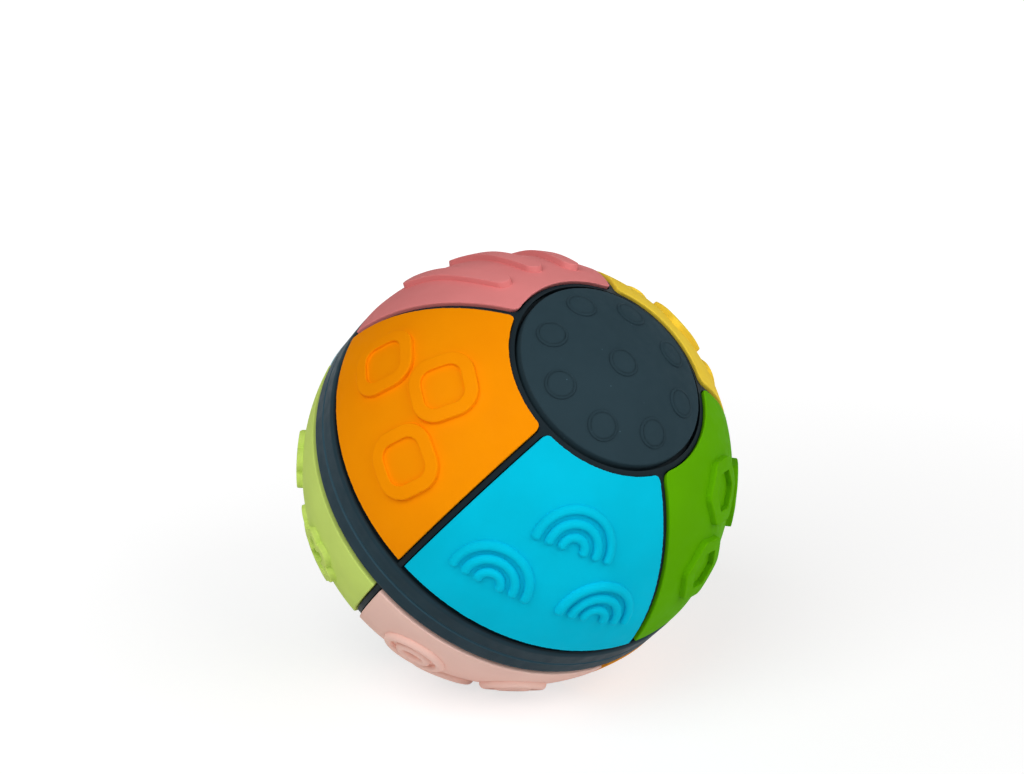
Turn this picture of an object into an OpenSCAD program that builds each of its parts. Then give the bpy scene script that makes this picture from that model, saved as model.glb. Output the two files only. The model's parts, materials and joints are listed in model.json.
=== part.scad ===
// Sensory ball: two rigid half frames that twist on a central axle, ten textured
// panels held in pockets by pull-through studs, and a dotted cap over each pole.
// The ball is drawn about its centre with the polar axis along Z, then laid at rest.

/* [Ball] */
// Diameter over the plain face of the panels
ball_d = 110; // [100:1:125]
// Lean of the polar axis away from upright, as the ball lies
lean = 45.5; // [40:0.5:50]
// Heading of that lean, turned about the upright
lean_heading = -49; // [-90:1:0]

/* [Panels] */
// Thickness of a panel without its relief
panel_t = 3.8; // [3:0.1:4.5]
// Gap between a panel's side and the frame
panel_gap = 0.5; // [0.3:0.05:0.8]
// Gap between a panel's wide end and the band
band_gap = 1.9; // [1.2:0.1:2.6]
// Corner radius of a panel beside the cap
panel_corner = 1.6; // [0.8:0.1:2.5]
// Height of the raised pattern
relief_h = 1.5; // [1:0.1:2]
// Diameter of the shank of a panel stud
stud_d = 4.6; // [3.5:0.1:5.5]
// Diameter of the head of a panel stud
stud_head_d = 7; // [6.5:0.1:8]
// Length of the head of a panel stud
stud_head_h = 2.4; // [1.5:0.1:3]
// Diameter of the tip of a panel stud
stud_tip_d = 3.6; // [2.5:0.1:4.5]

/* [Pattern places] */
// Latitude of the two pattern figures beside the band
pair_lat = 26.2; // [25:0.1:27]
// Turn of those two figures away from the panel's middle
pair_side = 16; // [15:0.5:17]
// Latitude of the third figure, in the panel's middle
single_lat = 42.4; // [41.5:0.1:43.5]
// Latitude of the bases of the two rainbows beside the band
arch_pair_lat = 21.1; // [20:0.1:23]
// Latitude of the base of the third rainbow
arch_single_lat = 38.2; // [37:0.1:40]
// Latitude of the two pairs of round rings beside the band
round_pair_lat = 22.7; // [21:0.1:25]
// Latitude of the third pair of round rings
round_single_lat = 39.5; // [38.5:0.1:42]
// Latitude of the middle of a panel's two studs
stud_lat = 33; // [30:0.5:36]
// Turn of each stud away from the panel's middle
stud_side = 20; // [16:0.5:22]

/* [Figures] */
// Width of a square ring across its flats
square_w = 17; // [15:0.1:17.5]
// Width of a hexagon ring across its flats
hexagon_w = 16.2; // [14:0.1:17.5]
// Width of a triangle ring, as the circle that fits inside it
triangle_w = 12; // [10:0.1:12.5]
// Width of the bar of those rings
ring_bar = 3.3; // [2.5:0.1:3.8]
// Outer corner radius of a square ring
square_corner = 6.4; // [5:0.1:6.8]
// Corner radius of the hole in a square ring
square_hole_corner = 3.1; // [2:0.1:3.4]
// Outer corner radius of a hexagon ring
hexagon_corner = 2.4; // [1.6:0.1:4]
// Corner radius of the hole in a hexagon ring
hexagon_hole_corner = 1; // [0.8:0.1:2]
// Outer corner radius of a triangle ring
triangle_corner = 2.8; // [2:0.1:3.2]
// Corner radius of the hole in a triangle ring
triangle_hole_corner = 1; // [0.8:0.1:1.2]
// Radius of the outer arch of a rainbow, at its middle line
arch_r = 9.3; // [8.8:0.1:9.6]
// Thickness of the round bar of an arch and of a round ring
arch_bar = 2.4; // [2:0.1:2.6]
// Step from one arch to the next
arch_step = 3.3; // [3:0.1:3.5]
// Radius of the outer round ring, at its middle line
round_r = 7.4; // [6.8:0.1:8]
// Step from the outer round ring to the inner one
round_step = 3.6; // [3:0.1:3.8]
// Length of a wavy bar between the centres of its round ends
wave_len = 30; // [26:0.5:32]
// Width of a wavy bar
wave_bar = 4.4; // [3.5:0.1:5]
// Sideways swing of a wavy bar
wave_swing = 0.6; // [0.3:0.1:1.2]
// Length of one wave
wave_pitch = 36; // [30:0.5:44]
// Latitude of the middle of the wavy bars
wave_lat = 35; // [34:0.5:36]
// Turn from one wavy bar to the next
wave_side = 18.5; // [17:0.5:20]
// Radius of the circle of petals
petal_ring_r = 5.4; // [5:0.1:5.8]
// Radius of one petal
petal_r = 3.4; // [3:0.1:3.7]
// Width of the petal outline's bar
petal_bar = 2.2; // [1.8:0.1:2.4]
// Length of an oval ring
oval_l = 18; // [16:0.1:19]
// Width of an oval ring
oval_w = 12; // [11:0.1:13]
// Radius of one dome of a dome group
dome_r = 2.6; // [2.2:0.1:2.8]
// Step between domes
dome_step = 6.2; // [5.8:0.1:6.6]
// Length of a straight bar between the centres of its round ends
bar_l = 11; // [8:0.5:12]
// Width of a straight bar
bar_w = 3; // [2.5:0.1:3.4]
// Step between straight bars
bar_step = 5; // [4.4:0.1:5.4]

/* [Frame] */
// Wall of a half frame under the panels
wall_t = 2.4; // [1.8:0.1:3]
// Width of the rib between two panels
rib_w = 1.3; // [1:0.1:2]
// Depth of the ribs below the panel faces
rib_drop = 0.9; // [0.5:0.1:1.4]
// Half of the height of the band
band_half = 5.5; // [4.5:0.1:6]
// Depth of the band below the panel faces
band_drop = 0.4; // [0.2:0.1:0.8]
// Rounding of the band's edges
band_round = 1.5; // [0.8:0.1:2]
// Gap between the two half frames at the equator
parting_gap = 0.3; // [0.2:0.05:0.6]
// Chamfer along the parting line
parting_chamfer = 0.3; // [0.1:0.05:0.5]
// Width of the ring round a cap
cap_ring_w = 1.15; // [0.9:0.05:1.6]
// Thickness of the floor under a cap
floor_t = 2.4; // [1.8:0.1:3]
// Height of the tongue that closes the parting line
tongue_h = 1.6; // [1:0.1:2.5]
// Thickness of that tongue
tongue_t = 1.2; // [1:0.1:1.5]
// Clearance round the tongue
tongue_play = 0.3; // [0.25:0.05:0.4]

/* [Caps] */
// Diameter of a cap
cap_d = 49.7; // [46:0.1:52]
// Gap between a cap and its ring
cap_gap = 1.05; // [0.5:0.05:1.3]
// Depth of the caps below the panel faces
cap_drop = 0.45; // [0.2:0.05:0.8]
// Thickness of a cap
cap_t = 3.2; // [2.5:0.1:3.6]
// Diameter of a dot
dot_d = 8; // [6:0.1:9]
// Height of a dot
dot_h = 0.5; // [0.3:0.05:0.8]
// Angle from the pole to the ring of dots
dot_polar = 19.6; // [18:0.1:20]
// Distance of a cap's studs from the axle
cap_stud_r = 16; // [15:0.1:17]

/* [Axle] */
// Diameter of the axle
axle_d = 10; // [8:0.1:12]
// Wall of the hub round the axle
hub_wall = 3; // [2:0.1:4]
// Radial running fit of the upper hub on the axle
running_fit = 0.05; // [0.03:0.01:0.08]
// End play of the upper half between its washers
end_play = 0.05; // [0.03:0.01:0.1]
// Thickness of the thrust washer between the hubs
thrust_t = 1; // [0.8:0.1:1.5]
// Diameter of a retaining washer
washer_d = 18; // [16:0.1:20]
// Thickness of a retaining washer
washer_t = 1.2; // [1:0.1:1.6]
// Diameter of a screw
screw_d = 4; // [3:0.1:5]
// Length of a screw under its head
screw_l = 16; // [12:0.5:20]
// Diameter of a screw's head
screw_head_d = 8; // [7:0.1:9]
// Height of a screw's head
screw_head_h = 2.6; // [2:0.1:3]
// Diameter of the flat top of a screw's head
screw_top_d = 5.4; // [4.5:0.1:6.5]
// Width of the hexagon socket in a screw's head
screw_socket_w = 2.5; // [2:0.1:3]

/* [Hidden] */
$fn = 96;
ball_fn = 240;

panel_count = 5;
dot_count = 8;
cap_stud_count = 3;
petal_count = 6;
dome_count = 6;
wave_steps = 16;
arch_count = 3;
seat_play = 0.1;
stud_play = 0.2;
corner_lap = 0.03;
press_fit = 0.02;
thread_play = 0.05;

ball_r = ball_d / 2;
panel_step = 360 / panel_count;
panel_half = panel_step / 2;
panel_back_r = ball_r - panel_t;
pocket_r = panel_back_r - seat_play;
shell_in_r = pocket_r - wall_t;
rib_r = ball_r - rib_drop;
band_r = ball_r - band_drop;
side_w = rib_w / 2 + panel_gap;
panel_edge_z = band_half + band_gap;
socket_r = cap_d / 2 + cap_gap;
cap_ring_r = socket_r + cap_ring_w;
panel_in_r = cap_ring_r + panel_gap;
part_z = parting_gap / 2;

// The cap's floor lies where the cap keeps its rim thickness
cap_r = ball_r - cap_drop;
cap_edge_z = sqrt(pow(cap_r, 2) - pow(cap_d / 2, 2));
cap_seat_z = cap_edge_z - cap_t;
socket_z = cap_seat_z - seat_play;

hub_d = axle_d + 2 * (running_fit + hub_wall);
hub_z = thrust_t / 2;
upper_bore_d = axle_d + 2 * running_fit;
lower_bore_d = axle_d + 2 * press_fit;
tongue_mid_r = (shell_in_r + band_r) / 2;

slate = "#2f3e46";
steel = "silver";
nylon = "ivory";

// The whole ball as it lies on the floor
module at_rest() translate([0, 0, ball_r]) rotate([0, 0, lean_heading]) rotate([0, lean, 0]) children();

module lower_half() mirror([0, 0, 1]) children();

// Turns a panel, drawn about the -X side, to its place round the pole
module panel_place(index) rotate([0, 0, (index + 0.5) * panel_step - 180]) children();

// Stands children on the ball, with local Z outwards and local Y towards the pole
module on_ball(lat, side) rotate([0, 0, 180 + side]) rotate([0, 90 - lat, 0]) rotate([0, 0, 90]) children();

// Turns a figure so that it lines up with the middle of its panel
module lined_up(lat, side) on_ball(lat, side) rotate([0, 0, -side * sin(lat)]) children();

// The three places of the figures on a panel: two beside the band and one above them
module three_places(low_lat = pair_lat, high_lat = single_lat) {
    for (side = [-pair_side, pair_side]) lined_up(low_lat, side) children();
    on_ball(high_lat, 0) children();
}

// A ball whose poles and seam lie away from local Z
module turned_sphere(r) rotate([90, 0, 0]) sphere(r = r, $fn = ball_fn);

// Raises a flat figure from the panel's face, with its top following the ball
module raised() {
    intersection() {
        translate([0, 0, panel_back_r + panel_t / 2]) linear_extrude(panel_t / 2 + 2 * relief_h) children();
        turned_sphere(ball_r + relief_h);
    }
}

// A stud that is pulled through a hole in a wall, along local Z, with its root at root_z
module stud(root_z, head_z) {
    translate([0, 0, head_z]) cylinder(d = stud_d, h = root_z - head_z);
    translate([0, 0, head_z - stud_head_h]) cylinder(d1 = stud_tip_d, d2 = stud_head_d, h = stud_head_h);
}

// Panel outline seen along the polar axis; grow moves its sides towards the frame
module panel_outline(grow) {
    side = side_w - grow;
    in_r = panel_in_r - grow;
    corner = panel_corner + grow;
    apex = side / sin(panel_half);
    rotate(180) difference() {
        polygon([
            [apex, 0],
            [apex + 2 * ball_r, 2 * ball_r * tan(panel_half)],
            [apex + 2 * ball_r, -2 * ball_r * tan(panel_half)]
        ]);
        circle(r = in_r);
        for (flip = [0, 1]) mirror([0, flip]) panel_corner_cut(side, in_r, corner);
    }
}

// What rounding takes off one corner beside the cap; the rounding laps a hair over both sides
module panel_corner_cut(side, in_r, corner) {
    centre = [sqrt(pow(in_r + corner, 2) - pow(side + corner, 2)), -side - corner];
    touch = centre * in_r / (in_r + corner);
    tip = [sqrt(pow(in_r, 2) - pow(side, 2)), -side];
    rotate(panel_half) difference() {
        polygon([centre, touch, tip - [corner, -corner], [centre[0], corner - side]]);
        translate(centre) circle(r = corner + corner_lap);
    }
}

// Plain panel with its two studs
module panel_body() {
    head_z = sqrt(pow(shell_in_r, 2) - pow(stud_head_d / 2, 2)) - seat_play;
    intersection() {
        translate([0, 0, panel_edge_z]) linear_extrude(ball_r) panel_outline(0);
        difference() {
            sphere(r = ball_r, $fn = ball_fn);
            sphere(r = panel_back_r, $fn = ball_fn);
        }
    }
    for (side = [-stud_side, stud_side]) on_ball(stud_lat, side) stud(panel_back_r + panel_t / 2, head_z);
}

// A polygon with rounded corners, by the radius of the circle that fits inside it
module rounded_polygon(sides, in_r, corner) {
    flat_r = in_r - corner;
    flat_half = flat_r * tan(180 / sides);
    circle(r = flat_r / cos(180 / sides), $fn = sides);
    for (i = [0 : sides - 1]) rotate((i + 0.5) * 360 / sides) {
        translate([flat_r / 2, -flat_half]) square([flat_r / 2 + corner, 2 * flat_half]);
        translate([flat_r, flat_half]) circle(r = corner + corner_lap);
    }
}

module polygon_ring(sides, width, corner, hole_corner) {
    difference() {
        rounded_polygon(sides, width / 2, corner);
        rounded_polygon(sides, width / 2 - ring_bar, hole_corner);
    }
}

// A round bar bent to an arch that follows the ball, with round ends when it is open
module round_bar(r, sweep) {
    translate([0, 0, sqrt(pow(ball_r, 2) - pow(r, 2))]) {
        rotate_extrude(angle = sweep) translate([r, 0]) circle(d = arch_bar);
        if (sweep < 360) for (x = [-r, r]) translate([x, 0, 0]) sphere(d = arch_bar - 2 * press_fit);
    }
}

module rainbow() for (i = [0 : arch_count - 1]) round_bar(arch_r - i * arch_step, 180);

module round_rings() {
    for (i = [0, 1]) round_bar(round_r - i * round_step, 360);
}

function wave_slope(y) = wave_swing * 2 * PI / wave_pitch * cos(360 * y / wave_pitch);
function wave_point(y, off) =
    [wave_swing * sin(360 * y / wave_pitch), y] + off / norm([1, wave_slope(y)]) * [1, -wave_slope(y)];

// A wavy bar with round ends, which lap a hair over its sides
module wave() {
    ys = [for (i = [0 : wave_steps]) wave_len * (i / wave_steps - 0.5)];
    polygon(concat(
        [for (y = ys) wave_point(y, wave_bar / 2)],
        [for (i = [wave_steps : -1 : 0]) wave_point(ys[i], -wave_bar / 2)]
    ));
    for (y = [ys[0], ys[wave_steps]]) translate(wave_point(y, 0)) circle(r = wave_bar / 2 + corner_lap);
}

// A flower outline as a bar of even width
module petals() {
    difference() {
        petal_outline(petal_r);
        petal_outline(petal_r - petal_bar);
    }
}

module petal_outline(r) {
    circle(r = petal_ring_r + (r - petal_r) / 2);
    for (i = [0 : petal_count - 1]) rotate(i * 360 / petal_count) translate([petal_ring_r, 0]) circle(r = r);
}

module oval_ring() {
    difference() {
        capsule(oval_l - oval_w, oval_w);
        capsule(oval_l - oval_w, oval_w - 2 * petal_bar);
    }
}

// A straight bar with round ends along Y
module capsule(len, width) {
    square([width, len], center = true);
    for (y = [-len / 2, len / 2]) translate([0, y]) circle(d = width);
}

// A low dome within a ring of others, their tops at the height of the other figures
module dome_group() {
    dome(0, 0);
    for (i = [0 : dome_count - 1]) dome(dome_step, i * 360 / dome_count);
}

module dome(out, turn) {
    rotate([0, 0, turn]) translate([out, 0, sqrt(pow(ball_r + relief_h - dome_r, 2) - pow(out, 2))])
        rotate([90, 0, 0]) sphere(r = dome_r);
}

module straight_bars() for (x = [-bar_step, 0, bar_step]) translate([x, 0]) capsule(bar_l, bar_w);

// Cross section of a half frame: shell, band, floor under the cap, and hub
module half_profile(bore_d) {
    difference() {
        union() {
            difference() {
                intersection() {
                    circle(r = rib_r);
                    translate([0, part_z]) square(ball_r);
                }
                circle(r = shell_in_r);
            }
            band_profile();
            translate([0, socket_z - floor_t]) square([socket_r, floor_t]);
            translate([0, hub_z]) square([hub_d / 2, socket_z - hub_z]);
        }
        translate([-1, socket_z]) square([socket_r + 1, ball_r]);
        translate([-1, -1]) square([bore_d / 2 + 1, ball_d]);
    }
}

// Half of the band, rounded at its edge and chamfered at the parting line
module band_profile() {
    difference() {
        union() {
            translate([shell_in_r, part_z]) square([band_r - band_round - shell_in_r, band_half - part_z]);
            translate([shell_in_r, part_z]) square([band_r - shell_in_r, band_half - band_round - part_z]);
            translate([band_r - band_round, band_half - band_round]) circle(r = band_round);
        }
        translate([band_r, part_z]) rotate(45) square(parting_chamfer * sqrt(2), center = true);
    }
}

// Ring that runs in the parting line; grow is the clearance round it
module tongue_profile(grow) {
    translate([tongue_mid_r - tongue_t / 2 - grow, -2 * part_z])
        square([tongue_t + 2 * grow, 2 * part_z + tongue_h + grow]);
}

// One half frame, drawn as the upper one
module half_frame(bore_d) {
    difference() {
        rotate_extrude() half_profile(bore_d);
        for (i = [0 : panel_count - 1]) panel_place(i) {
            difference() {
                translate([0, 0, band_half]) linear_extrude(ball_r) panel_outline(panel_gap);
                sphere(r = pocket_r, $fn = ball_fn);
            }
            for (side = [-stud_side, stud_side]) on_ball(stud_lat, side)
                translate([0, 0, shell_in_r - wall_t]) cylinder(d = stud_d + 2 * stud_play, h = 2 * wall_t + seat_play);
        }
        for (i = [0 : cap_stud_count - 1]) rotate([0, 0, (i + 0.5) * 360 / cap_stud_count])
            translate([cap_stud_r, 0, socket_z - 2 * floor_t])
                cylinder(d = stud_d + 2 * stud_play, h = 3 * floor_t);
    }
}

// One cap, drawn as the upper one
module cap() {
    head_z = socket_z - floor_t - seat_play;
    root_z = sqrt(pow(cap_r - cap_t / 2, 2) - pow(cap_stud_r, 2));
    difference() {
        intersection() {
            translate([0, 0, cap_seat_z]) cylinder(d = cap_d, h = ball_r);
            turned_sphere(cap_r);
        }
        turned_sphere(cap_r - cap_t);
    }
    cap_dot();
    for (i = [0 : dot_count - 1]) rotate([0, 0, i * 360 / dot_count]) rotate([0, dot_polar, 0]) cap_dot();
    for (i = [0 : cap_stud_count - 1]) rotate([0, 0, (i + 0.5) * 360 / cap_stud_count])
        translate([cap_stud_r, 0, 0]) stud(root_z, head_z);
}

// One low round dot with its top following the cap
module cap_dot() {
    intersection() {
        translate([0, 0, cap_r - cap_t / 2]) cylinder(d = dot_d, h = cap_t);
        turned_sphere(cap_r + dot_h);
    }
}

// Flat ring lying from z upwards
module flat_ring(outer_d, inner_d, z, h) {
    translate([0, 0, z]) difference() {
        cylinder(d = outer_d, h = h);
        translate([0, 0, -h]) cylinder(d = inner_d, h = 3 * h);
    }
}

// Screw with a domed head on a seat at z, its shank pointing down
module screw(z) {
    translate([0, 0, z - screw_l]) cylinder(d = screw_d, h = screw_l);
    difference() {
        translate([0, 0, z]) cylinder(d1 = screw_head_d, d2 = screw_top_d, h = screw_head_h);
        translate([0, 0, z + screw_head_h / 2])
            cylinder(d = screw_socket_w / cos(30), h = screw_head_h, $fn = 6);
    }
}

module upper_frame() color(slate) at_rest() difference() {
    half_frame(upper_bore_d);
    rotate_extrude() tongue_profile(tongue_play);
}

module lower_frame() color(slate) at_rest() {
    lower_half() half_frame(lower_bore_d);
    rotate_extrude() tongue_profile(0);
}

module upper_cap() color(slate) at_rest() cap();

module lower_cap() color(slate) at_rest() lower_half() cap();

module panel_green_hexagons() color("#5ba300") at_rest() panel_place(0) {
    panel_body();
    three_places() raised() rotate(30) polygon_ring(6, hexagon_w, hexagon_corner, hexagon_hole_corner);
}

module panel_yellow_triangles() color("#ebc62d") at_rest() panel_place(1) {
    panel_body();
    three_places() raised() rotate(90) polygon_ring(3, triangle_w, triangle_corner, triangle_hole_corner);
}

module panel_rose_waves() color("#d07078") at_rest() panel_place(2) {
    panel_body();
    for (side = [-wave_side, 0, wave_side]) on_ball(wave_lat, side) raised() wave();
}

module panel_orange_squares() color("#ff9800") at_rest() panel_place(3) {
    panel_body();
    three_places() raised() rotate(45) polygon_ring(4, square_w, square_corner, square_hole_corner);
}

module panel_blue_rainbows() color("#00bcdc") at_rest() panel_place(4) {
    panel_body();
    three_places(arch_pair_lat, arch_single_lat) rainbow();
}

module panel_amber_ovals() color("#e8862e") at_rest() lower_half() panel_place(0) {
    panel_body();
    three_places() raised() rotate(90) oval_ring();
}

module panel_cream_domes() color("#f1dc94") at_rest() lower_half() panel_place(1) {
    panel_body();
    three_places() dome_group();
}

module panel_sky_bars() color("#a9d3de") at_rest() lower_half() panel_place(2) {
    panel_body();
    three_places() raised() straight_bars();
}

module panel_lime_petals() color("#afc65f") at_rest() lower_half() panel_place(3) {
    panel_body();
    three_places() raised() petals();
}

module panel_pink_rings() color("#ddb0a4") at_rest() lower_half() panel_place(4) {
    panel_body();
    three_places(round_pair_lat, round_single_lat) round_rings();
}

module axle() color(nylon) at_rest()
    flat_ring(axle_d, screw_d + 2 * thread_play, -socket_z, 2 * socket_z + end_play);

module thrust_washer() color(nylon) at_rest()
    flat_ring(hub_d, lower_bore_d, -hub_z, thrust_t - end_play);

module upper_washer() color(steel) at_rest()
    flat_ring(washer_d, screw_d + 2 * thread_play, socket_z + end_play, washer_t);

module lower_washer() color(steel) at_rest() lower_half()
    flat_ring(washer_d, screw_d + 2 * thread_play, socket_z, washer_t);

module upper_screw() color(steel) at_rest() screw(socket_z + end_play + washer_t);

module lower_screw() color(steel) at_rest() lower_half() screw(socket_z + washer_t);

upper_frame();
lower_frame();
upper_cap();
lower_cap();
panel_green_hexagons();
panel_yellow_triangles();
panel_rose_waves();
panel_orange_squares();
panel_blue_rainbows();
panel_amber_ovals();
panel_cream_domes();
panel_sky_bars();
panel_lime_petals();
panel_pink_rings();
axle();
thrust_washer();
upper_washer();
lower_washer();
upper_screw();
lower_screw();
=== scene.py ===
import json
import math

import bpy
from mathutils import Matrix, Vector


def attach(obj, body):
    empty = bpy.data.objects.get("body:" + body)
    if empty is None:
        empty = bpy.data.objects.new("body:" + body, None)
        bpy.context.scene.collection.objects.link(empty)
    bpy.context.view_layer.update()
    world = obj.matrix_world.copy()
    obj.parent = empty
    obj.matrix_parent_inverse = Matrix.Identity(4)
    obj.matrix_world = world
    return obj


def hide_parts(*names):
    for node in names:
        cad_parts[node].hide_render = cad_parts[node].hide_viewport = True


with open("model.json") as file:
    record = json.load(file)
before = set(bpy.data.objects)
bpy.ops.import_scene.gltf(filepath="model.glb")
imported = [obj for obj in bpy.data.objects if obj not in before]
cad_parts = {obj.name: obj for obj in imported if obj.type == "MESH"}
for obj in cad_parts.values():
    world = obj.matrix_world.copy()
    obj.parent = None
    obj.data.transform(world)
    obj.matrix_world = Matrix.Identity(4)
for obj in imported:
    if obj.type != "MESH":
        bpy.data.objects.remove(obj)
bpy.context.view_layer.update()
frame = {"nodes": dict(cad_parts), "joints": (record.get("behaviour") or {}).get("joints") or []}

# The half frames
# Two injection-moulded ABS half shells, slate grey with a fine satin spark finish. Each carries five ribs,
# the ring round its cap and half of the equator band, and both turn on the axle inside.

MM = 0.001
SLATE_ABS = (0.0142, 0.0358, 0.0495, 1)
# Painted highlight along the parting line: how much paler, and how far from the line it reaches.
PARTING_HIGHLIGHT = 2.2
PARTING_HIGHLIGHT_FROM = 0.35 * MM
PARTING_HIGHLIGHT_TO = 0.65 * MM
# Painted shade on the ribs: how much darker, and over which distances from the ball's centre.
RIB_SHADE = 0.35
RIB_SHADE_FROM = 54.45 * MM
RIB_SHADE_TO = 54.15 * MM
ABS_SHINE = 0.1
ABS_CLOUD = 9 * MM
ABS_SATIN = 3 * MM
ABS_GRAIN = 0.25 * MM
ABS_GRAIN_H = 0.012 * MM
NOISE_LOW = 0.3
NOISE_HIGH = 0.7
CLOUD_LOW = 0.35
CLOUD_HIGH = 0.65
MIX_UNDER = 6
MIX_OVER = 7
MIX_RESULT = 2

hinge = frame["joints"][0]
centre = Vector(hinge["pos_m"])
pole = Vector(hinge["axis"])


def new_material(name, colour, roughness):
    """A material with its shader ready for colour and surface detail."""
    material = bpy.data.materials.new(name)
    material.use_nodes = True
    shader = material.node_tree.nodes["Principled BSDF"]
    shader.inputs["Base Color"].default_value = colour
    shader.inputs["Roughness"].default_value = roughness
    return material, shader


def add_noise(material, size, detail=3):
    """A noise pattern on the piece's own coordinates, with lumps of about the given size."""
    tree = material.node_tree
    coordinates = tree.nodes.new("ShaderNodeTexCoord")
    noise = tree.nodes.new("ShaderNodeTexNoise")
    noise.inputs["Scale"].default_value = 1 / size
    noise.inputs["Detail"].default_value = detail
    tree.links.new(coordinates.outputs["Object"], noise.inputs["Vector"])
    return noise.outputs["Fac"]


def vary(material, socket, pattern, low, high):
    """Drives a number on the shader between two values by a pattern."""
    tree = material.node_tree
    span = tree.nodes.new("ShaderNodeMapRange")
    span.inputs["From Min"].default_value = NOISE_LOW
    span.inputs["From Max"].default_value = NOISE_HIGH
    span.inputs["To Min"].default_value = low
    span.inputs["To Max"].default_value = high
    tree.links.new(pattern, span.inputs["Value"])
    tree.links.new(span.outputs["Result"], socket)


def shade_colour(material, shader, pattern, dark, light):
    """Blends two close colours over the surface by a pattern."""
    tree = material.node_tree
    ramp = tree.nodes.new("ShaderNodeValToRGB")
    ramp.color_ramp.elements[0].position = CLOUD_LOW
    ramp.color_ramp.elements[0].color = dark
    ramp.color_ramp.elements[1].position = CLOUD_HIGH
    ramp.color_ramp.elements[1].color = light
    tree.links.new(pattern, ramp.inputs["Fac"])
    tree.links.new(ramp.outputs["Color"], shader.inputs["Base Color"])


def emboss(material, shader, pattern, depth):
    """Presses a pattern into the surface as fine grain of the given depth."""
    tree = material.node_tree
    bump = tree.nodes.new("ShaderNodeBump")
    bump.inputs["Distance"].default_value = depth
    tree.links.new(pattern, bump.inputs["Height"])
    tree.links.new(bump.outputs["Normal"], shader.inputs["Normal"])


def tint(colour, factor):
    """The same colour, lighter or darker."""
    return tuple(min(c * factor, 1) for c in colour[:3]) + (1,)


def give(piece, material):
    """Makes a material the only one on a piece."""
    for slot in piece.material_slots:
        slot.material = material
    if not piece.material_slots:
        piece.data.materials.append(material)


def paint_over(material, shader, mask, colour):
    """Blends another colour over the present one, as far as a mask says."""
    tree = material.node_tree
    blend = tree.nodes.new("ShaderNodeMix")
    blend.data_type = "RGBA"
    blend.inputs[MIX_OVER].default_value = colour
    plain = shader.inputs["Base Color"].links[0].from_socket
    tree.links.new(mask, blend.inputs["Factor"])
    tree.links.new(plain, blend.inputs[MIX_UNDER])
    tree.links.new(blend.outputs[MIX_RESULT], shader.inputs["Base Color"])


def mask_between(material, value, none, full):
    """A mask that runs from nothing at one value to all at another."""
    span = material.node_tree.nodes.new("ShaderNodeMapRange")
    span.inputs["From Min"].default_value = none
    span.inputs["From Max"].default_value = full
    material.node_tree.links.new(value, span.inputs["Value"])
    return span.outputs["Result"]


def from_centre(material):
    """The way from the ball's centre to a point of the surface."""
    tree = material.node_tree
    coordinates = tree.nodes.new("ShaderNodeTexCoord")
    way = tree.nodes.new("ShaderNodeVectorMath")
    way.operation = "SUBTRACT"
    way.inputs[1].default_value = centre
    tree.links.new(coordinates.outputs["Object"], way.inputs[0])
    return way.outputs["Vector"]


def paint_rib_shade(material, shader, colour):
    """Darkens what lies below the band's face, the ribs: painted shade for the deep grooves they lie in."""
    tree = material.node_tree
    radius = tree.nodes.new("ShaderNodeVectorMath")
    radius.operation = "LENGTH"
    tree.links.new(from_centre(material), radius.inputs[0])
    mask = mask_between(material, radius.outputs["Value"], RIB_SHADE_FROM, RIB_SHADE_TO)
    paint_over(material, shader, mask, colour)


def paint_parting_highlight(material, shader, colour):
    """Pales the colour along the parting line: a painted highlight on the chamfered edges of the two
    halves.
    """
    tree = material.node_tree
    height = tree.nodes.new("ShaderNodeVectorMath")
    height.operation = "DOT_PRODUCT"
    height.inputs[1].default_value = pole
    off = tree.nodes.new("ShaderNodeMath")
    off.operation = "ABSOLUTE"
    tree.links.new(from_centre(material), height.inputs[0])
    tree.links.new(height.outputs["Value"], off.inputs[0])
    mask = mask_between(material, off.outputs["Value"], PARTING_HIGHLIGHT_TO, PARTING_HIGHLIGHT_FROM)
    paint_over(material, shader, mask, colour)


satin_abs, shader = new_material("satin_abs", SLATE_ABS, 0.55)
shader.inputs["Specular IOR Level"].default_value = ABS_SHINE
clouds = add_noise(satin_abs, ABS_CLOUD)
shade_colour(satin_abs, shader, clouds, tint(SLATE_ABS, 0.92), tint(SLATE_ABS, 1.08))
# Painted shade: the ribs below the band's face are darkened in colour.
paint_rib_shade(satin_abs, shader, tint(SLATE_ABS, RIB_SHADE))
# Painted highlight: a pale line in the colour along the parting line.
paint_parting_highlight(satin_abs, shader, tint(SLATE_ABS, PARTING_HIGHLIGHT))
vary(satin_abs, shader.inputs["Roughness"], add_noise(satin_abs, ABS_SATIN), 0.48, 0.62)
emboss(satin_abs, shader, add_noise(satin_abs, ABS_GRAIN), ABS_GRAIN_H)
for name in ("upper_frame", "lower_frame"):
    give(frame["nodes"][name], satin_abs)

# Axle, washers and screws
# A white acetal axle runs through both hubs on a thrust washer, and a zinc-plated screw with a wide washer
# closes it at each pole, under the cap.

ACETAL_WHITE = (0.80, 0.80, 0.76, 1)
ACETAL_CLOUD = 6 * MM
ACETAL_GRAIN = 0.4 * MM
ACETAL_GRAIN_H = 0.01 * MM
ZINC = (0.62, 0.62, 0.64, 1)
ZINC_SPANGLE = 2 * MM
ZINC_SMEAR = 0.6 * MM

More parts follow.
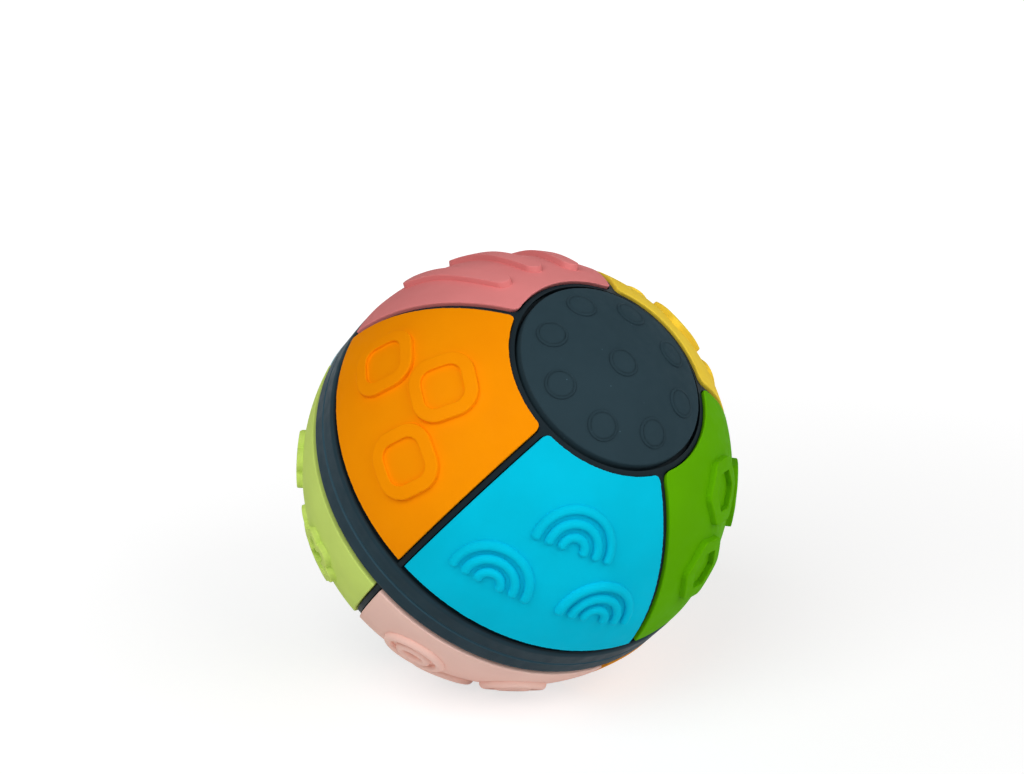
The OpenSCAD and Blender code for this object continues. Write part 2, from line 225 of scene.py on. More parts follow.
acetal, shader = new_material("acetal", ACETAL_WHITE, 0.35)
clouds = add_noise(acetal, ACETAL_CLOUD)
shade_colour(acetal, shader, clouds, tint(ACETAL_WHITE, 0.96), tint(ACETAL_WHITE, 1.02))
emboss(acetal, shader, add_noise(acetal, ACETAL_GRAIN), ACETAL_GRAIN_H)
zinc_plate, shader = new_material("zinc_plate", ZINC, 0.3)
shader.inputs["Metallic"].default_value = 1
spangle = add_noise(zinc_plate, ZINC_SPANGLE)
shade_colour(zinc_plate, shader, spangle, tint(ZINC, 0.9), tint(ZINC, 1.05))
vary(zinc_plate, shader.inputs["Roughness"], add_noise(zinc_plate, ZINC_SMEAR), 0.24, 0.42)
for name in ("axle", "thrust_washer"):
    give(frame["nodes"][name], acetal)
for name in ("upper_washer", "lower_washer", "upper_screw", "lower_screw"):
    give(frame["nodes"][name], zinc_plate)

# Plain panel
# Every panel is the same blank: a slice of a silicone shell with rounded corners beside the cap and two
# studs on its back that are pulled through holes in the frame. It is modelled once, on the +X side of a
# ball that stands on its pole, and copied for each pattern.

BALL_R = 55 * MM
PANEL_T = 3.8 * MM
RELIEF_H = 1.5 * MM
PANEL_COUNT = 5
PANEL_HALF = math.pi / PANEL_COUNT
SIDE_W = 1 * MM
PANEL_IN_R = 27.4 * MM
UPPER_EDGE_Z = 7.4 * MM
LOWER_EDGE_Z = 6.1 * MM
PANEL_CORNER = 1.6 * MM
BALL_SEGMENTS = 288
ARC_STEP = math.radians(1)
CORNER_ROOM = math.radians(4.5)
CORNER_SEGMENTS = 8
ON_LINE = 0.01 * MM
STUD_D = 4.6 * MM
STUD_SEGMENTS = 32
STUD_HEAD_D = 7 * MM
STUD_HEAD_H = 2.4 * MM
STUD_TIP_IN = 0.5 * MM
STUD_NECK = 6.4 * MM
STUD_LAT = math.radians(33)
STUD_SIDE = math.radians(20)
BLANK_GRID = 0.2 * MM
BLANK_PASSES = 12
BLANK_KEEP = 0.24
SOFTEN = 0.5
TRUE_REACH = 0.07 * MM
CREASE = math.radians(35)
ASKEW = Vector((0, 0, 1)).rotation_difference(Vector((1, 1, 1))).to_matrix().to_4x4()


def deselect():
    """Leaves nothing selected, so that the next operator acts on its own piece only."""
    if bpy.context.object and bpy.context.object.mode != "OBJECT":
        bpy.ops.object.mode_set(mode="OBJECT")
    bpy.ops.object.select_all(action="DESELECT")


def edit(piece, kind, chosen):
    """Opens a piece in edit mode with only the chosen vertices, edges or faces selected."""
    deselect()
    piece.select_set(True)
    bpy.context.view_layer.objects.active = piece
    bpy.ops.object.mode_set(mode="EDIT")
    bpy.ops.mesh.select_mode(type=kind)
    bpy.ops.mesh.select_all(action="DESELECT")
    bpy.ops.object.mode_set(mode="OBJECT")
    parts = {"VERT": piece.data.vertices, "EDGE": piece.data.edges, "FACE": piece.data.polygons}[kind]
    for part in parts:
        part.select = chosen(part)
    bpy.ops.object.mode_set(mode="EDIT")


def everything(part):
    return True


def close_edit():
    bpy.ops.object.mode_set(mode="OBJECT")


def apply_place(piece):
    """Moves an object's place, turn and scale into its mesh."""
    deselect()
    piece.select_set(True)
    bpy.context.view_layer.objects.active = piece
    bpy.ops.object.transform_apply(location=True, rotation=True, scale=True)


def added(name):
    """The primitive that was just added, under its own name and with its place in its mesh."""
    piece = bpy.context.object
    piece.name = name
    apply_place(piece)
    return piece


def copy_of(piece, name):
    """A copy with its own mesh."""
    deselect()
    piece.select_set(True)
    bpy.context.view_layer.objects.active = piece
    bpy.ops.object.duplicate()
    bpy.context.object.name = name
    return bpy.context.object


def join(pieces):
    """Joins pieces into the first one."""
    deselect()
    for piece in pieces:
        piece.select_set(True)
    bpy.context.view_layer.objects.active = pieces[0]
    bpy.ops.object.join()
    return pieces[0]


def remove(piece):
    deselect()
    piece.select_set(True)
    bpy.ops.object.delete()


def combine(piece, cutter, operation, solver="EXACT"):
    """Cuts, keeps or adds by another closed piece, and removes that piece."""
    modifier = piece.modifiers.new("combine", "BOOLEAN")
    modifier.operation = operation
    modifier.solver = solver
    modifier.object = cutter
    bpy.context.view_layer.objects.active = piece
    bpy.ops.object.modifier_apply(modifier=modifier.name)
    remove(cutter)


def place(piece, matrix):
    """Sets a piece at a place and turn, kept in its mesh."""
    piece.matrix_world = matrix
    apply_place(piece)


def on_ball(lat, side):
    """The place on a panel whose local Z points outwards and local Y points to the pole."""
    return (
        Matrix.Rotation(side, 4, "Z")
        @ Matrix.Rotation(math.pi / 2 - lat, 4, "Y")
        @ Matrix.Rotation(math.pi / 2, 4, "Z")
    )


def ball(radius, name):
    deselect()
    bpy.ops.mesh.primitive_uv_sphere_add(
        segments=BALL_SEGMENTS, ring_count=BALL_SEGMENTS // 2, radius=radius
    )
    return added(name)


def panel_outline():
    """The blank's outline seen along the pole: the arc beside the cap, its round corners and two sides."""
    deselect()
    bpy.ops.mesh.primitive_circle_add(vertices=round(2 * math.pi / ARC_STEP), radius=PANEL_IN_R)
    outline = added("panel_outline")
    arc_half = PANEL_HALF - math.asin(SIDE_W / PANEL_IN_R)
    ends = arc_half - CORNER_ROOM

    def beyond(vertex):
        return abs(math.atan2(vertex.co.y, vertex.co.x)) > ends

    edit(outline, "VERT", beyond)
    bpy.ops.mesh.delete(type="VERT")
    close_edit()
    for turn in (-1, 1):
        corner = Vector((math.cos(arc_half), turn * math.sin(arc_half), 0)) * PANEL_IN_R
        along = Vector((math.cos(PANEL_HALF), turn * math.sin(PANEL_HALF), 0)) * 2 * BALL_R
        tip = max(outline.data.vertices, key=lambda vertex: turn * math.atan2(vertex.co.y, vertex.co.x))
        start = tip.co.copy()
        index = tip.index
        edit(outline, "VERT", lambda vertex: vertex.index == index)
        bpy.ops.mesh.extrude_vertices_move(TRANSFORM_OT_translate={"value": corner - start})
        bpy.ops.mesh.extrude_vertices_move(TRANSFORM_OT_translate={"value": along})
        close_edit()
    edit(outline, "VERT", everything)
    bpy.ops.mesh.edge_face_add()
    close_edit()
    corner_x = PANEL_IN_R * math.cos(arc_half)

    def is_corner(vertex):
        off_arc = abs(vertex.co.length - PANEL_IN_R)
        return off_arc < ON_LINE and vertex.co.x < corner_x + ON_LINE

    edit(outline, "VERT", is_corner)
    bpy.ops.mesh.bevel(offset=PANEL_CORNER, segments=CORNER_SEGMENTS, affect="VERTICES")
    close_edit()
    return outline


def stud(name):
    """A pull-through stud that points inwards from the back of a panel."""
    deselect()
    neck_z = BALL_R - PANEL_T / 2 - STUD_NECK / 2
    bpy.ops.mesh.primitive_cylinder_add(
        vertices=STUD_SEGMENTS, radius=STUD_D / 2, depth=STUD_NECK, location=(0, 0, neck_z)
    )
    neck = added(name)
    deselect()
    bpy.ops.mesh.primitive_cone_add(
        vertices=STUD_SEGMENTS,
        radius1=STUD_D / 2 - STUD_TIP_IN,
        radius2=STUD_HEAD_D / 2,
        depth=STUD_HEAD_H,
        location=(0, 0, neck_z - STUD_NECK / 2 - STUD_HEAD_H / 2),
    )
    return join([neck, added("stud_head")])


def melt(piece, voxel, passes, keep):
    """Runs solids together as one moulding on a fine grid, softens its edges and drops points it can spare.
    The piece lies askew on the grid meanwhile, so that no edge runs along it and comes out in steps.
    """
    place(piece, ASKEW)
    remesh = piece.modifiers.new("melt", "REMESH")
    remesh.mode = "VOXEL"
    remesh.voxel_size = voxel
    soften = piece.modifiers.new("soften", "SMOOTH")
    soften.factor = SOFTEN
    soften.iterations = passes
    thin = piece.modifiers.new("thin", "DECIMATE")
    thin.ratio = keep
    for modifier in (remesh, soften, thin):
        bpy.ops.object.modifier_apply(modifier=modifier.name)
    place(piece, ASKEW.inverted())


def true_up(piece, levels):
    """Brings the points that lie close to a ball's face onto it, so that the face shades evenly."""
    for vertex in piece.data.vertices:
        radius = vertex.co.length
        level = min(levels, key=lambda r: abs(r - radius))
        off = radius - level
        if abs(off) < TRUE_REACH:
            vertex.co *= (level + off * pow(off / TRUE_REACH, 2)) / radius


def plain_panel(name, edge_z):
    """A blank whose wide end lies at the given height above the equator."""
    piece = panel_outline()
    edit(piece, "FACE", everything)
    bpy.ops.mesh.extrude_region_move(TRANSFORM_OT_translate={"value": (0, 0, BALL_R)})
    bpy.ops.mesh.select_all(action="SELECT")
    bpy.ops.transform.translate(value=(0, 0, edge_z))
    bpy.ops.mesh.normals_make_consistent(inside=False)
    close_edit()
    piece.name = name
    combine(piece, ball(BALL_R, "outside"), "INTERSECT")
    combine(piece, ball(BALL_R - PANEL_T, "inside"), "DIFFERENCE")
    studs = [stud("stud_left"), stud("stud_right")]
    for shank, turn in zip(studs, (-1, 1)):
        place(shank, on_ball(STUD_LAT, turn * STUD_SIDE))
    join([piece] + studs)
    melt(piece, BLANK_GRID, BLANK_PASSES, BLANK_KEEP)
    true_up(piece, (BALL_R, BALL_R - PANEL_T))
    return piece


blanks = {
    "upper_half": plain_panel("upper_blank", UPPER_EDGE_Z),
    "lower_half": plain_panel("lower_blank", LOWER_EDGE_Z),
}

ball_to_row = (
    Matrix.Translation(centre)
    @ Matrix.Rotation(math.atan2(pole.y, pole.x), 4, "Z")
    @ Matrix.Rotation(math.acos(pole.z), 4, "Y")
)


def fit(piece, half, turn, material):
    """Brings a finished moulding from the upright ball to its place on a half of the leaning one."""
    flip = Matrix.Scale(-1 if half == "lower_half" else 1, 4, (0, 0, 1))
    place(piece, ball_to_row @ flip @ Matrix.Rotation(turn, 4, "Z"))
    edit(piece, "FACE", everything)
    bpy.ops.mesh.normals_make_consistent(inside=False)
    close_edit()
    bpy.ops.object.shade_smooth_by_angle(angle=CREASE)
    give(piece, material)
    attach(piece, half)


def make_panel(name, node, index, half, figures, material):
    """One panel: the blank and its figures as one moulding, at its place round the ball."""
    panel = copy_of(blanks[half], name)
    combine(panel, join(figures), "UNION", "MANIFOLD")
    fit(panel, half, (2 * index + 1) * PANEL_HALF, material)
    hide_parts(node)


# Green panel
# Upper half. Compression-moulded silicone, dyed through and held by its two studs, with three raised rings
# shaped as rounded hexagons.

ROOT_H = 1.5 * MM
FACE_PITCH = 1.5 * MM
PAIR_LAT = math.radians(26.2)
PAIR_SIDE = math.radians(16)
SINGLE_LAT = math.radians(42.4)
RING_BAR = 3.3 * MM
RING_PASSES = 14
HEXAGON_W = 16.2 * MM
HEXAGON_CORNER = 2.4 * MM
FIGURE_GRID = 0.15 * MM
FIGURE_PASSES = 6
FIGURE_KEEP = 0.36
POLYGON_SEGMENTS = 10
SILICONE_SHINE = 0.03
SILICONE_CLOUD = 14 * MM
SILICONE_GLOSS = 2.5 * MM
SILICONE_GRAIN = 0.3 * MM
SILICONE_GRAIN_H = 0.02 * MM


def srgb(red, green, blue):
    """A colour as it is seen on a screen, turned to the linear values that a shader takes."""
    linear = []
    for level in (red, green, blue):
        share = level / 255
        linear.append(pow((share + 0.055) / 1.055, 2.4) if level > 10 else share / 12.92)
    return tuple(linear) + (1,)


def silicone(name, colour):
    """Matte dyed silicone: faint clouds in the colour, an uneven low gloss and a fine moulded grain."""
    material, shader = new_material(name, colour, 0.6)
    shader.inputs["Specular IOR Level"].default_value = SILICONE_SHINE
    clouds = add_noise(material, SILICONE_CLOUD)
    shade_colour(material, shader, clouds, tint(colour, 0.97), tint(colour, 1.03))
    vary(material, shader.inputs["Roughness"], add_noise(material, SILICONE_GLOSS), 0.6, 0.78)
    emboss(material, shader, add_noise(material, SILICONE_GRAIN), SILICONE_GRAIN_H)
    return material


def polygon_face(name, sides, in_r, corner, turn):
    """A flat polygon with rounded corners, by the circle that fits inside it."""
    deselect()
    bpy.ops.mesh.primitive_circle_add(
        vertices=sides, radius=in_r / math.cos(math.pi / sides), fill_type="NGON", rotation=(0, 0, turn)
    )
    face = added(name)
    edit(face, "VERT", everything)
    setback = corner * math.tan(math.pi / sides)
    bpy.ops.mesh.bevel(offset=setback, segments=POLYGON_SEGMENTS, affect="VERTICES")
    close_edit()
    return face


def hollow(face, bar):
    """Leaves only a bar of even width round the edge of a flat face."""
    edit(face, "FACE", everything)
    bpy.ops.mesh.inset(thickness=bar, depth=0)
    bpy.ops.mesh.delete(type="FACE")
    close_edit()


def slice_up(face):
    """Cuts a flat figure into small squares, so that it can follow the ball."""
    for axis in (0, 1):
        span = max(abs(vertex.co[axis]) for vertex in face.data.vertices)
        steps = math.ceil(span / FACE_PITCH)
        for step in range(-steps, steps + 1):
            cut = Vector((0, 0, 0))
            cut[axis] = step * FACE_PITCH
            way = Vector((0, 0, 0))
            way[axis] = 1
            edit(face, "FACE", everything)
            bpy.ops.mesh.bisect(plane_co=cut, plane_no=way)
            close_edit()


def thicken(face, height=RELIEF_H):
    """Makes a flat figure a solid that reaches from inside the panel to a height above its face."""
    edit(face, "FACE", everything)
    bpy.ops.transform.translate(value=(0, 0, -ROOT_H))
    bpy.ops.mesh.extrude_region_move(TRANSFORM_OT_translate={"value": (0, 0, ROOT_H + height)})
    bpy.ops.mesh.select_all(action="SELECT")
    bpy.ops.mesh.normals_make_consistent(inside=False)
    close_edit()


def lay_on_ball(figure, passes=FIGURE_PASSES, lift=0):
    """Bends a figure round the ball: its height above the flat becomes height above the panel's face."""
    melt(figure, FIGURE_GRID, passes, FIGURE_KEEP)
    for vertex in figure.data.vertices:
        x, y, height = vertex.co
        vertex.co.z = math.sqrt(pow(BALL_R + lift + height, 2) - x * x - y * y)


def three_copies(figure, pair_lat=PAIR_LAT, single_lat=SINGLE_LAT):
    """Three figures on one panel: two beside the band and one above, in line with the panel's middle."""
    copies = []
    for lat, side in ((pair_lat, -PAIR_SIDE), (pair_lat, PAIR_SIDE), (single_lat, 0)):
        piece = copy_of(figure, figure.name + "_copy")
        place(piece, on_ball(lat, side) @ Matrix.Rotation(-side * math.sin(lat), 4, "Z"))
        copies.append(piece)
    remove(figure)
    return copies


def ring_figure(name, sides, in_r, corner):
    """A raised ring shaped as a polygon with rounded corners."""
    figure = polygon_face(name, sides, in_r, corner, 0)
    hollow(figure, RING_BAR)
    slice_up(figure)
    thicken(figure)
    lay_on_ball(figure, RING_PASSES)
    return figure


hexagon = ring_figure("hexagon", 6, HEXAGON_W / 2, HEXAGON_CORNER)
green = silicone("green_silicone", srgb(96, 172, 0))
make_panel("green_panel", "panel_green_hexagons", 0, "upper_half", three_copies(hexagon), green)

# Yellow panel
# Upper half. Yellow silicone, moulded in one with three raised rings shaped as rounded triangles, and held
# by its two studs.

TRIANGLE_W = 12 * MM
TRIANGLE_CORNER = 3 * MM

triangle = ring_figure("triangle", 3, TRIANGLE_W / 2, TRIANGLE_CORNER)
yellow = silicone("yellow_silicone", srgb(255, 217, 68))
make_panel("yellow_panel", "panel_yellow_triangles", 1, "upper_half", three_copies(triangle), yellow)

# Rose panel
# Upper half. Rose silicone, moulded in one with three raised wavy bars that run up from the band to the
# cap, and held by its two studs.

WAVE_LEN = 30 * MM
WAVE_BAR = 4.4 * MM
WAVE_SWING = 0.6 * MM
WAVE_PITCH = 36 * MM
WAVE_LAT = math.radians(35)
WAVE_SIDE = math.radians(18.5)
BAR_ROUND = 0.499
BAR_SEGMENTS = 12


def bar_face(name, length, width):
    """A flat bar along Y with round ends, whose centres lie a length apart."""
    deselect()
    bpy.ops.mesh.primitive_plane_add(size=1)
    face = bpy.context.object
    face.scale = (width, length + width, 1)
    face = added(name)
    edit(face, "VERT", everything)
    bpy.ops.mesh.bevel(offset=BAR_ROUND * width, segments=BAR_SEGMENTS, affect="VERTICES")
    close_edit()
    return face


wave = bar_face("wave", WAVE_LEN, WAVE_BAR)
slice_up(wave)
for vertex in wave.data.vertices:
    vertex.co.x += WAVE_SWING * math.sin(2 * math.pi * vertex.co.y / WAVE_PITCH)
thicken(wave)
lay_on_ball(wave)
waves = [copy_of(wave, "wave_copy") for side in range(3)]
for piece, side in zip(waves, (-WAVE_SIDE, 0, WAVE_SIDE)):
    place(piece, on_ball(WAVE_LAT, side))
remove(wave)
rose = silicone("rose_silicone", srgb(230, 136, 135))
make_panel("rose_panel", "panel_rose_waves", 2, "upper_half", waves, rose)

# Orange panel
# Upper half. Orange silicone, moulded in one with three raised rings shaped as rounded squares, which are
# a little lower than the other figures and have a shallow hollow.

SQUARE_W = 17 * MM
SQUARE_H = 1.2 * MM
SQUARE_CORNER = 6.4 * MM
SQUARE_TURN = math.pi / 4
BED_H = 0.3 * MM
BED_CORNER = 5 * MM

square = polygon_face("square", 4, SQUARE_W / 2, SQUARE_CORNER, SQUARE_TURN)
hollow(square, RING_BAR)
slice_up(square)
thicken(square, SQUARE_H)
bed = polygon_face("bed", 4, (SQUARE_W - RING_BAR) / 2, BED_CORNER, SQUARE_TURN)
slice_up(bed)
thicken(bed, BED_H)
join([square, bed])
lay_on_ball(square, RING_PASSES)
orange = silicone("orange_silicone", srgb(255, 149, 0))
make_panel("orange_panel", "panel_orange_squares", 3, "upper_half", three_copies(square), orange)

# Blue panel
# Upper half. Blue silicone, moulded in one with three rainbows, each of three round bars bent to arches,
# one inside the other.

ARCH_R = 9.7 * MM
ARCH_BAR = 2.3 * MM
ARCH_STEP = 3.4 * MM
ARCH_LIFT = 0.3 * MM
ARCH_PASSES = 3
ARCH_COUNT = 3
RAINBOW_LATS = (math.radians(21.1), math.radians(39))


def round_bar(name, radius):
    """A round bar bent to a full ring."""
    deselect()
    bpy.ops.mesh.primitive_torus_add(
        major_segments=96, minor_segments=20, major_radius=radius, minor_radius=ARCH_BAR / 2
    )
    return added(name)


def round_end(x):
    """The round end of a bar."""
    deselect()
    bpy.ops.mesh.primitive_uv_sphere_add(
        segments=24, ring_count=12, radius=ARCH_BAR / 2, location=(x, 0, 0)
    )
    return added("round_end")


arches = []
for step in range(ARCH_COUNT):
    radius = ARCH_R - step * ARCH_STEP
    arch = round_bar("arch", radius)
    edit(arch, "FACE", everything)
    bpy.ops.mesh.bisect(plane_co=(0, 0, 0), plane_no=(0, 1, 0), use_fill=True, clear_inner=True)
    close_edit()
    arches.append(join([arch, round_end(radius), round_end(-radius)]))
rainbow = join(arches)
lay_on_ball(rainbow, ARCH_PASSES, ARCH_LIFT)
blue = silicone("blue_silicone", srgb(0, 196, 228))
rainbows = three_copies(rainbow, *RAINBOW_LATS)
make_panel("blue_panel", "panel_blue_rainbows", 4, "upper_half", rainbows, blue)

# Amber panel
# Lower half, whose panels are of paler colours. Amber silicone, moulded in one with three raised oval rings
# that lie along the band, and held by its two studs.

OVAL_L = 18 * MM
OVAL_W = 12 * MM
THIN_BAR = 2 * MM

oval = bar_face("oval", OVAL_L - OVAL_W, OVAL_W)
hollow(oval, THIN_BAR)
edit(oval, "FACE", everything)
bpy.ops.transform.rotate(value=math.pi / 2, orient_axis="Z", center_override=(0, 0, 0))
close_edit()
slice_up(oval)
thicken(oval)
lay_on_ball(oval)
amber = silicone("amber_silicone", srgb(244, 160, 48))
make_panel("amber_panel", "panel_amber_ovals", 0, "lower_half", three_copies(oval), amber)

# Cream panel
# Lower half. Cream silicone, moulded in one with three groups of seven low domes, and held by its two
# studs.

DOME_R = 2.6 * MM
DOME_STEP = 6.2 * MM
DOME_COUNT = 6

domes = []
for step in range(DOME_COUNT + 1):
    turn = step * 2 * math.pi / DOME_COUNT
    out = DOME_STEP if step < DOME_COUNT else 0
    deselect()
    bpy.ops.mesh.primitive_uv_sphere_add(
        segments=32,
        ring_count=24,
        radius=DOME_R,
        location=(out * math.cos(turn), out * math.sin(turn), RELIEF_H - DOME_R),
    )
    domes.append(added("dome"))
dome_group = join(domes)
lay_on_ball(dome_group)
cream = silicone("cream_silicone", srgb(241, 220, 148))
make_panel("cream_panel", "panel_cream_domes", 1, "lower_half", three_copies(dome_group), cream)

# Sky panel
# Lower half. Sky blue silicone, moulded in one with three groups of three short bars that point to the
# pole.

BAR_L = 11 * MM
BAR_W = 3 * MM
BAR_STEP = 5 * MM

bars = []
for x in (-BAR_STEP, 0, BAR_STEP):
    bar = bar_face("bar", BAR_L, BAR_W)
    slice_up(bar)
    edit(bar, "FACE", everything)
    bpy.ops.transform.translate(value=(x, 0, 0))
    close_edit()
    bars.append(bar)
bar_group = join(bars)
thicken(bar_group)
lay_on_ball(bar_group)
sky = silicone("sky_silicone", srgb(169, 211, 222))
make_panel("sky_panel", "panel_sky_bars", 2, "lower_half", three_copies(bar_group), sky)

# Lime panel
# Lower half. Lime silicone, moulded in one with three raised flower outlines, each of six round petals, and
# held by its two studs.

PETAL_RING_R = 4.9 * MM
PETAL_R = 3.1 * MM
PETAL_COUNT = 6
PETAL_PASSES = 12
PETAL_SEGMENTS = 144

deselect()
bpy.ops.mesh.primitive_circle_add(vertices=PETAL_SEGMENTS, radius=PETAL_RING_R, fill_type="NGON")
flower = added("flower")
for vertex in flower.data.vertices:
    angle = math.atan2(vertex.co.y, vertex.co.x)
    petal = 2 * math.pi / PETAL_COUNT
    off = angle - petal * round(angle / petal)
    along = PETAL_RING_R * math.cos(off)
    across = PETAL_RING_R * math.sin(off)
    edge = along + math.sqrt(pow(PETAL_R, 2) - pow(across, 2))
    vertex.co *= edge / PETAL_RING_R
hollow(flower, THIN_BAR)
slice_up(flower)
thicken(flower)
lay_on_ball(flower, PETAL_PASSES)
lime = silicone("lime_silicone", srgb(212, 236, 120))
make_panel("lime_panel", "panel_lime_petals", 3, "lower_half", three_copies(flower), lime)

# Pink panel
# Lower half. Pink silicone, moulded in one with three pairs of round rings, one inside the other, of the
# same round bar as the rainbows.

ROUND_R = 7.4 * MM
ROUND_STEP = 3.6 * MM
ROUND_LATS = (math.radians(22.7), math.radians(39.5))

rings = join([round_bar("outer_ring", ROUND_R), round_bar("inner_ring", ROUND_R - ROUND_STEP)])
lay_on_ball(rings, ARCH_PASSES, ARCH_LIFT)
pink = silicone("pink_silicone", srgb(255, 211, 198))
make_panel("pink_panel", "panel_pink_rings", 4, "lower_half", three_copies(rings, *ROUND_LATS), pink)
for piece in blanks.values():
    remove(piece)

# Caps
# A slate silicone disc over each pole hides the screw. Its face follows the ball a little below the panels
# and has a ring of eight low round dots about a ninth, and three studs hold it to the frame's floor.

CAP_R = 54.55 * MM
CAP_D = 49.7 * MM
CAP_T = 3.2 * MM
CAP_SEAT_Z = 45.36 * MM
CAP_STUD_R = 16 * MM
CAP_STUD_SINK = 4.4 * MM
CAP_STUD_COUNT = 3
CAP_SEGMENTS = 192
CAP_GRID = 0.22 * MM
CAP_PASSES = 5
CAP_KEEP = 0.3
DOT_D = 7.7 * MM
DOT_H = 0.5 * MM
DOT_ROUND = 0.4 * MM
DOT_POLAR = math.radians(19.6)
DOT_COUNT = 8
DOT_SEGMENTS = 96
DOT_RINGS = 6
DOT_RING_W = DOT_D / 2 / 8
FACES_UP = 0.9
CAP_SLATE = srgb(44, 62, 70)
LINT_PALE = 2
LINT_STEP = 4 * MM
LINT_SIZE = 0.22 * MM

deselect()
bpy.ops.mesh.primitive_cylinder_add(
    vertices=CAP_SEGMENTS, radius=CAP_D / 2, depth=BALL_R, location=(0, 0, CAP_SEAT_Z + BALL_R / 2)
)
cap = added("cap_blank")
combine(cap, ball(CAP_R, "cap_outside"), "INTERSECT")
combine(cap, ball(CAP_R - CAP_T, "cap_inside"), "DIFFERENCE")
studs = []
for step in range(CAP_STUD_COUNT):
    turn = (step + 0.5) * 2 * math.pi / CAP_STUD_COUNT
    piece = stud("cap_stud")
    shift = Vector((CAP_STUD_R * math.cos(turn), CAP_STUD_R * math.sin(turn), -CAP_STUD_SINK))
    place(piece, Matrix.Translation(shift))
    studs.append(piece)
join([cap] + studs)
melt(cap, CAP_GRID, CAP_PASSES, CAP_KEEP)
true_up(cap, (CAP_R, CAP_R - CAP_T))
dots = []
for step in range(DOT_COUNT + 1):
    deselect()
    bpy.ops.mesh.primitive_cylinder_add(vertices=DOT_SEGMENTS, radius=DOT_D / 2, depth=CAP_T)
    dot = added("dot")
    edit(dot, "FACE", lambda face: face.normal.z > FACES_UP)
    bpy.ops.mesh.bevel(offset=DOT_ROUND, segments=4, affect="EDGES")
    close_edit()
    edit(dot, "FACE", lambda face: face.normal.z > FACES_UP)
    for ring in range(DOT_RINGS):
        bpy.ops.mesh.inset(thickness=DOT_RING_W)
    bpy.ops.mesh.poke()
    close_edit()
    for vertex in dot.data.vertices:
        x, y, height = vertex.co
        vertex.co.z = math.sqrt(pow(CAP_R + DOT_H - CAP_T / 2 + height, 2) - x * x - y * y)
    polar = DOT_POLAR if step < DOT_COUNT else 0
    turn = step * 2 * math.pi / DOT_COUNT
    place(dot, Matrix.Rotation(turn, 4, "Z") @ Matrix.Rotation(polar, 4, "Y"))
    dots.append(dot)
combine(cap, join(dots), "UNION", "MANIFOLD")


def lint(material, shader, spacing, size, colour):
    """Tiny pale specks of lint that cling to the silicone."""
    tree = material.node_tree
    coordinates = tree.nodes.new("ShaderNodeTexCoord")
    cells = tree.nodes.new("ShaderNodeTexVoronoi")
    cells.inputs["Scale"].default_value = 1 / spacing
    tree.links.new(coordinates.outputs["Object"], cells.inputs["Vector"])
    reach = size / spacing
    mask = mask_between(material, cells.outputs["Distance"], reach, reach / 2)
    paint_over(material, shader, mask, colour)


slate = silicone("slate_silicone", CAP_SLATE)
shader = slate.node_tree.nodes["Principled BSDF"]
lint(slate, shader, LINT_STEP, LINT_SIZE, tint(CAP_SLATE, LINT_PALE))
for half in ("upper", "lower"):
    piece = copy_of(cap, half + "_dotted_cap")
    fit(piece, half + "_half", 0, slate)
    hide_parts(half + "_cap")
remove(cap)

# Floor
# A white paper sweep. Its bounce lights the ball from below, and the camera sees it as white away from the
# ball's shadow.

FLOOR_SIZE = 12
FLOOR_WHITE = (0.92, 0.92, 0.92, 1)
FLOOR_SEEN = (0.42, 0.42, 0.42, 1)
GLOW_NEAR = 0.68
GLOW_FAR = 1
GLOW_START = 0.05
GLOW_END = 0.6
GLOW_CENTRE = (0.1, 0, 0)


def looked_at(tree):
    """A mask for what the camera sees, also in a reflection or through a clear piece."""
    path = tree.nodes.new("ShaderNodeLightPath")
    mask = path.outputs["Is Camera Ray"]
    for ray in ("Is Glossy Ray", "Is Transmission Ray"):
        either = tree.nodes.new("ShaderNodeMath")
        either.operation = "MAXIMUM"
        tree.links.new(mask, either.inputs[0])
        tree.links.new(path.outputs[ray], either.inputs[1])
        mask = either.outputs[0]
    return mask


deselect()
bpy.ops.mesh.primitive_plane_add(size=FLOOR_SIZE)
floor = added("floor")
paper, shader = new_material("white_paper", FLOOR_WHITE, 1)
shader.inputs["Specular IOR Level"].default_value = 0
tree = paper.node_tree
seen = looked_at(tree)
tone = tree.nodes.new("ShaderNodeMix")
tone.data_type = "RGBA"
tone.inputs[MIX_UNDER].default_value = FLOOR_WHITE
tone.inputs[MIX_OVER].default_value = FLOOR_SEEN
tree.links.new(seen, tone.inputs["Factor"])
tree.links.new(tone.outputs[MIX_RESULT], shader.inputs["Base Color"])
# The glow that the camera sees is weakest round a point just right of the ball and full far off: it evens
# out the lamps' fall-off, and is painted shade on the floor round the ball.
spot = tree.nodes.new("ShaderNodeTexCoord")
away = tree.nodes.new("ShaderNodeVectorMath")
away.operation = "DISTANCE"
away.inputs[1].default_value = GLOW_CENTRE
tree.links.new(spot.outputs["Object"], away.inputs[0])
glow = tree.nodes.new("ShaderNodeMapRange")
glow.interpolation_type = "SMOOTHSTEP"
glow.inputs["From Min"].default_value = GLOW_START
glow.inputs["From Max"].default_value = GLOW_END
glow.inputs["To Min"].default_value = GLOW_NEAR
glow.inputs["To Max"].default_value = GLOW_FAR
tree.links.new(away.outputs["Value"], glow.inputs["Value"])
glow_seen = tree.nodes.new("ShaderNodeMath")
glow_seen.operation = "MULTIPLY"
tree.links.new(glow.outputs["Result"], glow_seen.inputs[0])
tree.links.new(seen, glow_seen.inputs[1])
shader.inputs["Emission Color"].default_value = (1, 1, 1, 1)
tree.links.new(glow_seen.outputs[0], shader.inputs["Emission Strength"])
give(floor, paper)

# Light
# A large soft box at the front left, a weaker one lower at the front right, a faint one at the right side,
# and little light from all round, though the surroundings are seen as white.

SURROUND = 0.07
BOX_FAR = 1.3
BOX_SIZE = 1
LEFT_POWER = 10.8
RIGHT_POWER = 7
SIDE_POWER = 2.8

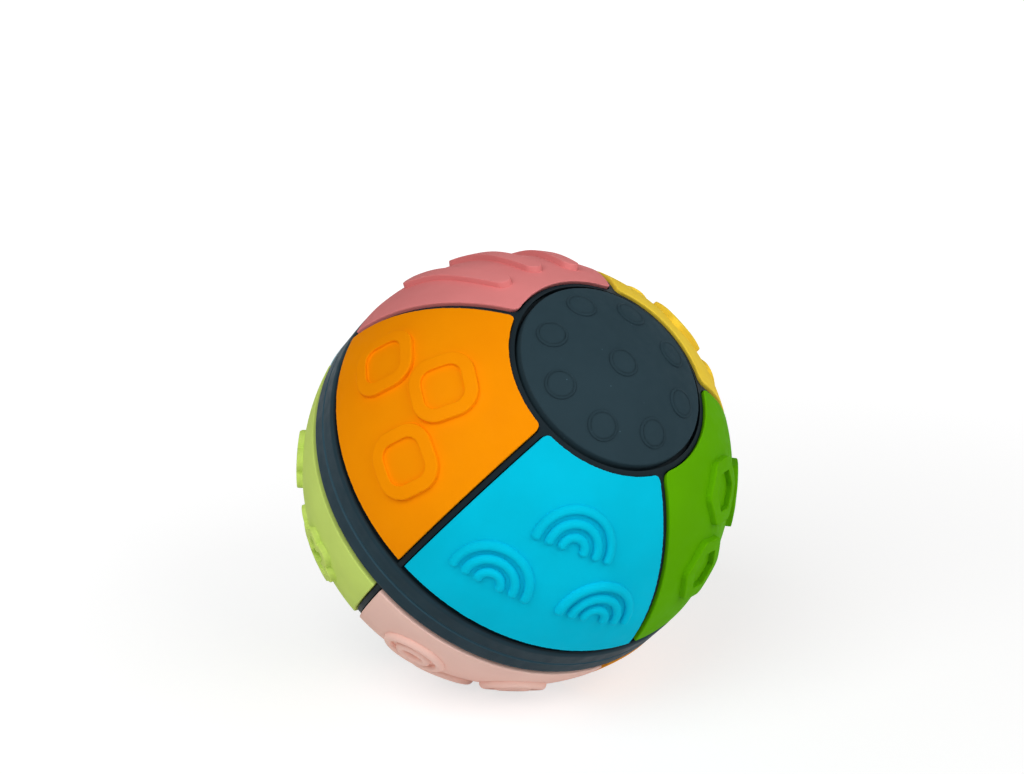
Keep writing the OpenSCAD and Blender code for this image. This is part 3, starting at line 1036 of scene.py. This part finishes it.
world = bpy.data.worlds.new("studio")
bpy.context.scene.world = world
world.use_nodes = True
tree = world.node_tree
background = tree.nodes["Background"]
background.inputs["Color"].default_value = (1, 1, 1, 1)
strength = tree.nodes.new("ShaderNodeMath")
strength.operation = "MULTIPLY_ADD"
strength.inputs[1].default_value = 1 - SURROUND
strength.inputs[2].default_value = SURROUND
tree.links.new(looked_at(tree), strength.inputs[0])
tree.links.new(strength.outputs[0], background.inputs["Strength"])


def soft_box(name, azimuth, elevation, power):
    """A square soft light that looks at the middle of the ball."""
    deselect()
    bpy.ops.object.light_add(type="AREA")
    lamp = bpy.context.object
    lamp.name = name
    lamp.data.size = BOX_SIZE
    lamp.data.energy = power
    way = Vector((
        math.sin(azimuth) * math.cos(elevation),
        -math.cos(azimuth) * math.cos(elevation),
        math.sin(elevation),
    ))
    lamp.location = Vector((0, 0, BALL_R)) + way * BOX_FAR
    lamp.rotation_euler = way.to_track_quat("Z", "Y").to_euler()


soft_box("left_soft_box", math.radians(-33), math.radians(46), LEFT_POWER)
soft_box("right_soft_box", math.radians(50), math.radians(30), RIGHT_POWER)
soft_box("side_soft_box", math.radians(105), math.radians(30), SIDE_POWER)

# Camera
# A long lens a little above the ball, aimed so that the ball sits low in the frame.

PICTURE_W = 1024
PICTURE_H = 774
FOCAL_PX = 2539.6
BALL_PX = (517.57, 469.86)
CAMERA_FAR = 0.652
CAMERA_UP = math.radians(20)
SENSOR = 36

deselect()
bpy.ops.object.camera_add()
camera = bpy.context.object
camera.data.sensor_width = SENSOR
camera.data.sensor_fit = "HORIZONTAL"
camera.data.lens = SENSOR * FOCAL_PX / PICTURE_W
camera.location = (0, -CAMERA_FAR * math.cos(CAMERA_UP), BALL_R + CAMERA_FAR * math.sin(CAMERA_UP))
aim_up = math.atan((BALL_PX[1] - PICTURE_H / 2) / FOCAL_PX)
aim_left = math.atan((BALL_PX[0] - PICTURE_W / 2) / FOCAL_PX)
camera.rotation_euler = (math.pi / 2 - CAMERA_UP + aim_up, 0, aim_left)
bpy.context.scene.camera = camera
bpy.context.scene.view_settings.view_transform = "Standard"
